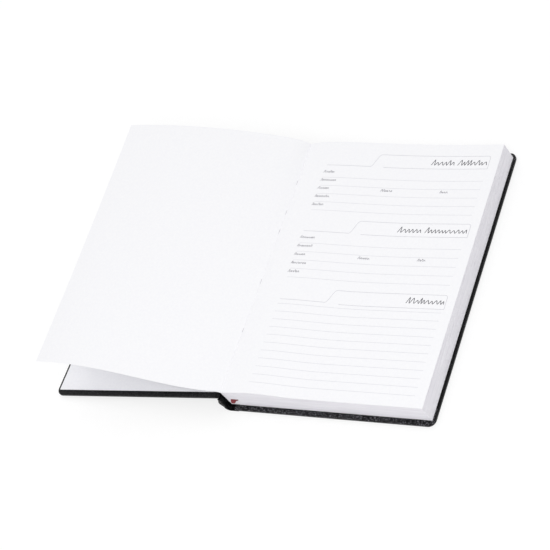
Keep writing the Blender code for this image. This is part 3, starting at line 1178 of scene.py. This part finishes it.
@dataclass
class TextBlock:
    """Eleven sewn sections, each of folded sheets, with the top leaves fanned up at the gutter."""

    arch: Arch
    page_height: float
    sections: int = 11
    sheets: int = 4
    # The share of a leaf's pitch that is air, and how far a trimmed leaf may stand out or in.
    gap_share: float = 0.12
    trim_play: float = 0.035
    fold_steps: int = 8
    fan_leaves: int = 20
    fan_columns: int = 48
    fan_rows: int = 24
    # The fan starts beside the fold, a little under the form leaf, and keeps a least height.
    fan_start: float = 0.15
    fan_drop: float = 0.08
    fan_floor: float = 0.03
    # The block leans, and a section of this number would lie straight.
    straight_section: float = 1.5
    seed: int = 7

    def __post_init__(self) -> None:
        """Take the sections' heights and the slant of the block from the frame."""
        top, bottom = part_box("signature_02"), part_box(f"signature_{self.sections:02d}")
        self.low = section_of(bottom[0]).z
        self.pitch = (top[0].z - bottom[0].z) / MM / (self.sections - 2)
        self.thickness = (bottom[1].z - bottom[0].z) / MM
        self.slant = (bottom[0].x - top[0].x) / MM / (self.sections - 2)
        self.random = random.Random(self.seed)

    def fold_path(self, radius: float) -> list[Point]:
        """Draw the middle line of a folded sheet.

        Args:
            radius: of the fold.

        Returns:
            Points from the fore edge round the fold and out again.
        """
        fold = arc((self.thickness / 2, 0.0), radius, 270.0, 90.0, self.fold_steps)
        fore = self.arch.page_width
        return [(fore, -radius)] + fold + [(fore, radius)]

    def build_section(self) -> bpy.types.Object:
        """Model one section of nested folded sheets, lying at height zero.

        Returns:
            The section, to be copied.
        """
        leaf = self.thickness / (2 * self.sheets)
        paper = leaf * (1 - self.gap_share)
        made = []
        for k in range(self.sheets):
            path = self.fold_path((k + 0.5) * leaf)
            made.append(swept(f"folded_sheet_{k}", path, paper, 0.0, self.page_height))
        pick(*made)
        bpy.ops.object.join()
        return claim("section")

    def trim(self, obj: bpy.types.Object, lift: float, shift: float) -> None:
        """Move a section to its place and let each leaf stand out or in by a hair at its trimmed edges.

        Args:
            obj: the section.
            lift: the height of its middle.
            shift: how far it lies towards the fore edge.
        """
        leaf = self.thickness / (2 * self.sheets)
        plays: dict[int, tuple[float, float]] = {}
        for vert in obj.data.vertices:
            at = section_of(vert.co)
            number = math.floor(at.z / leaf)
            if number not in plays:
                plays[number] = tuple(self.random.uniform(-1, 1) * self.trim_play for _ in range(2))
            play = plays[number]
            if at.x > self.arch.page_width / 2:
                at.x += play[0] - self.slant * at.z / self.pitch
            at.y += play[1]
            vert.co = section(at.x + shift, at.y, at.z + lift)

    def build_fan(self) -> bpy.types.Object:
        """Model the leaves that fan up under the form leaf, thin wedges from the block to the page.

        Returns:
            The leaves as one piece.
        """
        base = self.arch.form_low - self.fan_drop
        made = []
        for k in range(self.fan_leaves):
            def place(across: float, along: float, through: float, k: int = k) -> Spot:
                """Set a point of one fanned leaf.

                Args:
                    across: the share of the way from the gutter to the end of the hump.
                    along: the share of the way from the tail.
                    through: nought on the underside, one on top.
                    k: the leaf's number, from the lowest.

                Returns:
                    The section point.
                """
                x = lerp((self.fan_start, lerp(self.arch.hump_reach, along)), across)
                share = (k + through * (1 - self.gap_share)) / self.fan_leaves
                z = base + share * (self.fan_floor + self.arch.page(x, along))
                return x, along * self.page_height, z

            made.append(slab(f"fanned_leaf_{k}", self.fan_columns, self.fan_rows, place))
        pick(*made)
        bpy.ops.object.join()
        return claim("fanned_leaves")

    def dress(self, finishes: Finishes, leaves: Leaves) -> None:
        """Build and finish the block.

        Args:
            finishes: the planner's materials.
            leaves: the leaves whose flatten_form gives the fanned leaves their own mesh.
        """
        pattern = self.build_section()
        for number in range(1, self.sections + 1):
            level = self.sections - number
            node = f"signature_{number:02d}"
            copy = pattern.copy()
            copy.data = pattern.data.copy()
            copy.name = f"section_{number:02d}"
            copy.data.name = copy.name
            bpy.context.scene.collection.objects.link(copy)
            lift = self.low + level * self.pitch + self.thickness / 2
            self.trim(copy, lift, self.slant * (number - self.straight_section))
            hand_over(copy, finishes.edges, "text_block", [node])
        bpy.data.objects.remove(pattern)
        fan = self.build_fan()
        hand_over(fan, finishes.edges, "text_block")
        leaves.flatten_form(fan)


@dataclass(frozen=True)
class Heading:
    """A tab-shaped outline over a part of the form, in millimetres from the gutter and the tail."""

    # The low line's start and end, the heights of the low and the top line, and the right end.
    left: Point
    low: float
    high: float
    right: float
    # The lower line's start and height.
    under: Point
    # Where each word starts and ends.
    words: tuple[Point, ...]
    slope_run: float = 7.2
    slope_steps: int = 14
    corner: float = 1.6
    corner_steps: int = 6

    def outline(self) -> list[Point]:
        """Draw the tab's outline.

        Returns:
            Points of the low line, a rising curve, the top line and a round corner down to the lower line.
        """
        start, end = self.left
        slope_end = end + self.slope_run
        points = [(x, self.low) for x in steps_between(start, end, INK_STEP)]
        for k in range(1, self.slope_steps):
            share = k / self.slope_steps
            points.append((lerp((end, slope_end), share), lerp((self.low, self.high), ease(share))))
        points += [(x, self.high) for x in steps_between(slope_end, self.right - self.corner, INK_STEP)]
        middle = (self.right - self.corner, self.high - self.corner)
        points += arc(middle, self.corner, 90.0, 0.0, self.corner_steps)[1:]
        points.append((self.right, self.under[1]))
        return points

    def underline(self) -> list[Point]:
        """The lower line under the words."""
        return [(x, self.under[1]) for x in steps_between(self.under[0], self.right, INK_STEP)]


@dataclass
class FormPrint:
    """The printed form: tab outlines, rules, and uneven waves where words would be."""

    leaves: Leaves
    page: bpy.types.Object
    rule_width: float = 0.26
    heading_width: float = 0.44
    label_width: float = 0.28
    clearance: float = 0.02
    # The rules: a row under each field name, and the lines for notes below.
    row_pitch: float = 6.8
    rule_drop: float = 3.9
    rule_ends: Point = (20.5, 137.8)
    note_high: float = 67.7
    note_pitch: float = 5.94
    note_rules: int = 11
    headings: tuple[Heading, ...] = (
        Heading((20.5, 52.6), 180.0, 190.2, 138.2, (63.0, 179.7), ((97.0, 113.6), (116.0, 137.0))),
        Heading((20.5, 53.4), 125.3, 135.4, 139.3, (63.0, 124.9), ((88.6, 105.4), (108.2, 137.8))),
        Heading((21.0, 53.4), 71.2, 80.8, 138.8, (64.0, 70.4), ((111.2, 137.6),)),
    )
    # The words of a heading: their base over the low line, and the height and width of a stroke.
    heading_base: float = 2.9
    heading_height: float = 2.6
    heading_period: float = 2.7
    # The field names: their lengths in the two upper parts, each part's top row, and two names beside them.
    label_left: float = 19.6
    label_height: float = 1.2
    label_period: float = 1.45
    labels: tuple[tuple[float, ...], ...] = ((8.4, 11.6, 8.4, 11.0, 8.8), (11.0, 11.4, 8.4, 11.2, 8.4))
    rows: Point = (173.6, 119.5)
    side_labels: tuple[Point, ...] = ((66.6, 75.0), (109.4, 115.2))
    side_row: int = 2
    # How uneven the strokes are, and how far they lean.
    stroke_widths: Point = (0.7, 1.3)
    stroke_steps: int = 8
    first_tall: float = 1.6
    talls: tuple[float, ...] = (0.8, 0.9, 1.0, 1.0, 1.0, 1.5)
    lean: float = 0.22
    # The print is drawn this high over the table and then dropped on the page.
    drawing_height: float = 60.0
    seed: int = 11

    def __post_init__(self) -> None:
        """Start the draws that make the waves uneven."""
        self.random = random.Random(self.seed)

    def wave(self, start: float, end: float, base: float, height: float, period: float) -> list[Point]:
        """Draw an uneven slanted wave that stands for a word, its first stroke tall.

        Args:
            start: where the wave starts, from the gutter.
            end: where it ends.
            base: its base line, from the tail.
            height: the height of a plain stroke.
            period: about the width of a stroke.

        Returns:
            The wave's points on the page.
        """
        points = []
        count = max(2, round((end - start) / period))
        widths = [self.random.uniform(*self.stroke_widths) for _ in range(count)]
        x = start
        for k, width in enumerate(widths):
            stride = (end - start) * width / sum(widths)
            tall = self.first_tall if k == 0 else self.random.choice(self.talls)
            for step in range(self.stroke_steps):
                share = step / self.stroke_steps
                y = height * tall * (0.5 - 0.5 * math.cos(2 * math.pi * share))
                points.append((x + stride * share + self.lean * y, base + y))
            x += stride
        return points + [(end, base)]

    def strokes(self, name: str, lines: Iterable[Sequence[Point]], width: float) -> bpy.types.Object:
        """Draw lines of ink as flat strips and lay them on the page.

        Args:
            name: the piece's name.
            lines: each line's points, in millimetres on the page.
            width: the ink's width.

        Returns:
            The print as a thin mesh.
        """
        nib = bpy.data.curves.new("nib", "CURVE")
        nib.dimensions = "2D"
        ends = nib.splines.new("POLY").points
        ends.add(1)
        for end, side in zip(ends, (-0.5, 0.5)):
            end.co = (side * width * MM, 0.0, 0.0, 1.0)
        nib_object = bpy.data.objects.new("nib", nib)
        bpy.context.scene.collection.objects.link(nib_object)
        drawing = bpy.data.curves.new(name, "CURVE")
        drawing.dimensions = "2D"
        drawing.bevel_mode = "OBJECT"
        drawing.bevel_object = nib_object
        for line in lines:
            points = drawing.splines.new("POLY").points
            points.add(len(line) - 1)
            for point, (x, y) in zip(points, line):
                point.co = (x * MM, y * MM, 0.0, 1.0)
        drawn = bpy.data.objects.new(name, drawing)
        bpy.context.scene.collection.objects.link(drawn)
        pick(drawn)
        bpy.ops.object.convert(target="MESH")
        ink = claim(name)
        ink.location = section(0.0, 0.0, self.drawing_height)
        bpy.ops.object.transform_apply(location=True, rotation=True, scale=True)
        apply_modifier(
            ink, "SHRINKWRAP", target=self.page, wrap_method="PROJECT", use_project_z=True,
            use_positive_direction=False, use_negative_direction=True, wrap_mode="ABOVE_SURFACE",
            offset=self.clearance * MM,
        )
        bpy.data.objects.remove(nib_object)
        return ink

    def rule_lines(self) -> list[list[Point]]:
        """Draw every writing rule of the form.

        Returns:
            Each rule's points.
        """
        heights = []
        for top, labels in zip(self.rows, self.labels):
            heights += [top - k * self.row_pitch - self.rule_drop for k in range(len(labels))]
        heights += [self.note_high - k * self.note_pitch for k in range(self.note_rules)]
        return [[(x, y) for x in steps_between(*self.rule_ends, INK_STEP)] for y in heights]

    def tab_lines(self) -> list[list[Point]]:
        """The tabs' outlines and their lower lines."""
        return [line for heading in self.headings for line in (heading.outline(), heading.underline())]

    def heading_waves(self) -> list[list[Point]]:
        """Draw waves in the place of the headings' words.

        Returns:
            Each wave's points.
        """
        return [
            self.wave(first, last, heading.low + self.heading_base, self.heading_height, self.heading_period)
            for heading in self.headings for first, last in heading.words
        ]

    def label(self, start: float, end: float, base: float) -> list[Point]:
        """A small wave in the place of a field name."""
        return self.wave(start, end, base, self.label_height, self.label_period)

    def label_waves(self) -> list[list[Point]]:
        """Draw waves in the place of the field names.

        Returns:
            Each wave's points.
        """
        waves = []
        for top, labels in zip(self.rows, self.labels):
            for k, length in enumerate(labels):
                base = top - k * self.row_pitch
                waves.append(self.label(self.label_left, self.label_left + length, base))
            for first, last in self.side_labels:
                waves.append(self.label(first, last, top - self.side_row * self.row_pitch))
        return waves

    def dress(self, finishes: Finishes) -> None:
        """Draw and lay the print.

        Args:
            finishes: the planner's materials.
        """
        prints = (
            ("printed_rules", self.rule_lines(), self.rule_width, finishes.rule_ink),
            ("printed_tabs", self.tab_lines(), self.rule_width, finishes.tab_ink),
            ("printed_headings", self.heading_waves(), self.heading_width, finishes.heading_ink),
            ("printed_labels", self.label_waves(), self.label_width, finishes.label_ink),
        )
        for name, lines, width, material in prints:
            ink = self.strokes(name, lines, width)
            hand_over(ink, material, "text_block")
            self.leaves.flatten_form(ink)


@dataclass
class Sewing:
    """Short stitches of linen thread that show in the gutter."""

    arch: Arch
    page_height: float
    # Each stitch's two ends, from the tail.
    stitches: tuple[Point, ...] = (
        (163.0, 171.0), (138.0, 145.0), (122.0, 130.0), (82.0, 89.0), (44.0, 50.0),
    )
    radius: float = 0.16
    roundness: int = 3
    steps: int = 10
    # A stitch lies beside the fold, with its ends sunk in the gutter and its middle crowned.
    side: float = 0.02
    sink: float = 0.25
    crown: float = 0.45
    smooth_deg: float = 60.0

    def build_stitch(self, number: int, low: float, high: float) -> bpy.types.Object:
        """Draw one stitch, a curved run of thread with its ends down in the gutter.

        Args:
            number: counts the stitches.
            low: the end nearer the tail.
            high: the end nearer the head.

        Returns:
            The stitch as a curve.
        """
        path = bpy.data.curves.new(f"stitch_{number}", "CURVE")
        path.dimensions = "3D"
        path.bevel_depth = self.radius * MM
        path.bevel_resolution = self.roundness
        path.use_fill_caps = True
        points = path.splines.new("POLY").points
        points.add(self.steps)
        for k, point in enumerate(points):
            share = k / self.steps
            y = lerp((low, high), share)
            lift = lerp(self.arch.gutter_lift, y / self.page_height)
            z = self.arch.form_low + lift - self.sink + self.crown * math.sin(math.pi * share)
            point.co = (*section(self.side, y, z), 1.0)
        stitch = bpy.data.objects.new(path.name, path)
        bpy.context.scene.collection.objects.link(stitch)
        return stitch

    def dress(self, finishes: Finishes, leaves: Leaves) -> None:
        """Lay the stitches along the fold and finish them.

        Args:
            finishes: the planner's materials.
            leaves: the leaves whose flatten_form gives the stitches their own mesh.
        """
        made = [self.build_stitch(number, *ends) for number, ends in enumerate(self.stitches)]
        pick(*made)
        bpy.ops.object.convert(target="MESH")
        bpy.ops.object.join()
        thread = claim("gutter_stitches")
        finish_mesh(thread, self.smooth_deg)
        hand_over(thread, finishes.thread, "text_block")
        leaves.flatten_form(thread)


@dataclass
class Ribbon:
    """The ribbon marker.

    It is glued on the spine lining, turns over the head, runs between the leaves and comes out at the tail.
    """

    page_height: float
    width: float = 5.6
    thickness: float = 0.25
    middle: float = 6.8
    # The run lies over the CAD node's lowest point by the droop, and then settles.
    droop: float = 1.7
    settle: float = 0.87
    # The turn at the head and the tab on the spine.
    bend: float = 0.5
    tab: float = 22.0
    # The tail: how far it stands out and falls at its right edge and at its left, and its notch.
    sweep: float = 0.4
    stand: Point = (0.5, 2.0)
    fall: Point = (0.1, 1.7)
    fall_power: float = 1.5
    hanging_share: float = 0.5
    notch: float = 0.45
    notch_place: float = 0.72
    columns: int = 12
    tail_rows: int = 24
    run_rows: int = 10
    bend_rows: int = 8
    smooth_deg: float = 50.0

    def __post_init__(self) -> None:
        """Take the heights of the run and of the tab from the frame."""
        low, high = (section_of(corner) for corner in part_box("ribbon_marker"))
        self.level = low.z + self.droop - self.settle
        self.tab_high = high.z
        self.tab_x = low.x + self.thickness / 2

    def across(self, share: float) -> float:
        """The x at a share of the width, from the left edge to the right."""
        return self.middle + (2 * share - 1) * (self.width / 2)

    def height(self, share: float) -> float:
        """The height of a thread once the ribbon has turned up on its edge."""
        return self.tab_high - self.width * (1 - share)

    def tail_point(self, out: float, share: float) -> Spot:
        """Set a point of the tail, which hangs at its left and is drawn out to the right.

        Args:
            out: nought where the tail leaves the block, one at its notched end.
            share: the share of the width.

        Returns:
            The section point.
        """
        nick = max(0.0, 1 - abs(share - self.notch_place) / (1 - self.notch_place))
        run = out * (1 - self.notch * nick)
        hang = 0.5 + 0.5 * math.cos(math.pi * max(0.0, share / self.hanging_share - 1))
        x = self.across(share) + self.sweep * run * run
        return x, -lerp(self.stand, hang) * run, self.level - lerp(self.fall, hang) * run ** self.fall_power

    def rows(self) -> list[CrossLine]:
        """Lay out the ribbon's cross lines.

        Returns:
            Functions of the share of the width, from the notched end to the tab.
        """
        made: list[CrossLine] = []
        for k in range(self.tail_rows + 1):
            out = 1 - k / self.tail_rows
            made.append(lambda share, out=out: self.tail_point(out, share))
        for k in range(1, self.run_rows + 1):
            y = self.page_height * k / self.run_rows
            made.append(lambda share, y=y: (self.across(share), y, self.level))
        for k in range(1, self.bend_rows + 1):
            swing = math.pi / 2 * k / self.bend_rows
            y = self.page_height + self.bend * math.sin(swing)
            z = self.level + self.bend * (1 - math.cos(swing))
            made.append(lambda share, y=y, z=z: (self.across(share), y, z))
        over = self.page_height + self.bend
        made.append(lambda share: (self.across(share), over, self.height(share)))
        for k in range(self.bend_rows + 1):
            swing = math.pi / 2 * k / self.bend_rows
            x = self.tab_x + self.bend * (1 - math.sin(swing))
            y = self.page_height + self.bend * math.cos(swing)
            made.append(lambda share, x=x, y=y: (x, y, self.height(share)))
        made.append(lambda share: (self.tab_x, self.page_height - self.tab, self.height(share)))
        return made

    def build(self) -> bpy.types.Object:
        """Lay the ribbon out along its rows and give it its thickness.

        Returns:
            The ribbon.
        """
        rows = self.rows()
        deselect()
        bpy.ops.mesh.primitive_grid_add(x_subdivisions=self.columns, y_subdivisions=len(rows) - 1, size=1.0)
        ribbon = claim("ribbon_marker_satin")
        for vert in ribbon.data.vertices:
            row = rows[round((vert.co.y + 0.5) * (len(rows) - 1))]
            vert.co = section(*row(vert.co.x + 0.5))
        apply_modifier(ribbon, "SOLIDIFY", thickness=self.thickness * MM, offset=0.0, use_even_offset=False)
        finish_mesh(ribbon, self.smooth_deg)
        return ribbon

    def dress(self, finishes: Finishes) -> None:
        """Build and finish the ribbon."""
        hand_over(self.build(), finishes.ribbon, "text_block", ["ribbon_marker"])


def background_rays(tree: bpy.types.NodeTree) -> bpy.types.Node:
    """Tell the rays that should see a white background from those that light the planner.

    Args:
        tree: the node tree of the world or the floor.

    Returns:
        A node that gives one for a camera, glossy or transmission ray, or else nought.
    """
    path = add_node(tree, "ShaderNodeLightPath")
    seen = path.outputs["Is Camera Ray"]
    for kind in ("Is Glossy Ray", "Is Transmission Ray"):
        seen = add_node(tree, "ShaderNodeMath", {0: seen, 1: path.outputs[kind]}, operation="MAXIMUM")
    return seen


@dataclass(frozen=True)
class Lamp:
    """A square soft lamp that faces the planner, in metres and watts."""

    name: str
    place: Spot
    size: float
    watts: float

    def hang(self) -> None:
        """Add the lamp."""
        place = Vector(self.place)
        deselect()
        facing = place.to_track_quat("Z", "Y").to_euler()
        bpy.ops.object.light_add(type="AREA", location=place, rotation=facing)
        lamp = bpy.context.object
        lamp.name = self.name
        lamp.data.energy = self.watts
        lamp.data.size = self.size


@dataclass(frozen=True)
class Studio:
    """White floor, soft light from the far left, a second lamp by the camera, and the camera.

    The floor lights the planner as white paper does. What is seen of it is a steady glow and a dull coat
    that takes the planner's shadow, and the two together read white in the open.
    """

    # The camera in the section frame, and the picture's scale and middle in pixels.
    eye: Spot = (567.07, -400.03, 772.62)
    aim: Spot = (0.9, 87.2, 17.13)
    roll_deg: float = -37.7
    focal_px: float = 1582.0
    principal_px: Point = (264.2, 280.8)
    picture_px: float = 550.0
    sensor_mm: float = 36.0
    ambient: float = 0.7
    key: Lamp = Lamp("key_lamp", (-0.75, 0.75, 1.0), 0.9, 2.8)
    fill: Lamp = Lamp("fill_lamp", (0.45, -0.75, 1.0), 0.6, 5.0)
    white: str = "FFFFFF"
    floor_size: float = 12.0
    floor_drop: float = 0.0002
    floor_paper: str = "F7F7F7"
    floor_dull: str = "959595"
    floor_glow: float = 0.73

    def camera(self) -> None:
        """Set the camera by its eye, its aim, its roll and the shift of the picture."""
        eye, aim = section(*self.eye), section(*self.aim)
        forward = (aim - eye).normalized()
        roll = Matrix.Rotation(math.radians(self.roll_deg), 3, "Z")
        turn = forward.to_track_quat("-Z", "Y").to_matrix() @ roll
        deselect()
        bpy.ops.object.camera_add(location=eye, rotation=turn.to_euler())
        made = bpy.context.object
        made.data.sensor_width = self.sensor_mm
        made.data.lens = self.focal_px / self.picture_px * self.sensor_mm
        made.data.shift_x = (self.picture_px / 2 - self.principal_px[0]) / self.picture_px
        made.data.shift_y = (self.principal_px[1] - self.picture_px / 2) / self.picture_px
        bpy.context.scene.camera = made

    def world(self) -> None:
        """Light the scene evenly from all round, with a white sky behind."""
        world = bpy.data.worlds.new("white_room")
        bpy.context.scene.world = world
        world.use_nodes = True
        tree = world.node_tree
        tree.nodes.clear()
        white = linear(self.white)
        light = add_node(tree, "ShaderNodeBackground", {"Color": white, "Strength": self.ambient})
        sky = add_node(tree, "ShaderNodeBackground", {"Color": white, "Strength": 1.0})
        mixed = add_node(tree, "ShaderNodeMixShader", {0: background_rays(tree), 1: light, 2: sky})
        add_node(tree, "ShaderNodeOutputWorld", {"Surface": mixed})

    def floor(self) -> None:
        """Lay a white floor that keeps the planner's shadow and reads white where nothing shades it."""
        deselect()
        bpy.ops.mesh.primitive_plane_add(size=self.floor_size, location=(0.0, 0.0, -self.floor_drop))
        floor = claim("studio_floor")
        bpy.ops.object.transform_apply(location=True, rotation=True, scale=True)
        material = bpy.data.materials.new("white_paper_floor")
        material.use_nodes = True
        tree = material.node_tree
        tree.nodes.clear()
        matt = add_node(tree, "ShaderNodeBsdfDiffuse", {"Color": linear(self.floor_paper)})
        dull = add_node(tree, "ShaderNodeBsdfDiffuse", {"Color": linear(self.floor_dull)})
        light = {"Color": linear(self.white), "Strength": self.floor_glow}
        glow = add_node(tree, "ShaderNodeEmission", light)
        seen = add_node(tree, "ShaderNodeAddShader", {0: dull, 1: glow})
        mixed = add_node(tree, "ShaderNodeMixShader", {0: background_rays(tree), 1: matt, 2: seen})
        add_node(tree, "ShaderNodeOutputMaterial", {"Surface": mixed})
        dress(floor, material)

    def build(self) -> None:
        """Set up the whole studio."""
        bpy.context.scene.view_settings.view_transform = "Standard"
        self.camera()
        self.world()
        self.floor()
        self.key.hang()
        self.fill.hang()


def main() -> None:
    """Build the studio and every part of the planner."""
    logging.basicConfig(level=logging.INFO, format="%(name)s: %(message)s")
    Studio().build()
    finishes = Finishes()
    front_range = joint("front_cover_hinge")["range_deg"]
    tilt = math.radians(180.0 - front_range[1])
    # The back cover's edges get painted sheen and wear. The front cover's edges, in the turned leaf's shade,
    # get none.
    front = Cover(Side.FRONT, "front_cover_hinge", "front_cover", setback=0.5, tilt=tilt, edge_rub=0.0)
    back = Cover(Side.BACK, "back_cover_hinge", "back_cover", setback=0.0, tilt=0.0, edge_rub=1.45)
    form_low, form_high = (section_of(corner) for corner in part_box("form_leaf"))
    arch = Arch(front, form_low.z, form_high.x)
    page_height = form_high.y - form_low.y
    leaves = Leaves(arch, page_height)
    for cover in (front, back):
        cover.dress(finishes)
    Spine(back).dress(finishes)
    page = leaves.dress(finishes)
    FormPrint(leaves, page).dress(finishes)
    leaves.flatten_form(page)
    TextBlock(arch, page_height).dress(finishes, leaves)
    Sewing(arch, page_height).dress(finishes, leaves)
    Ribbon(page_height).dress(finishes)


if __name__ == "__main__":
    main()
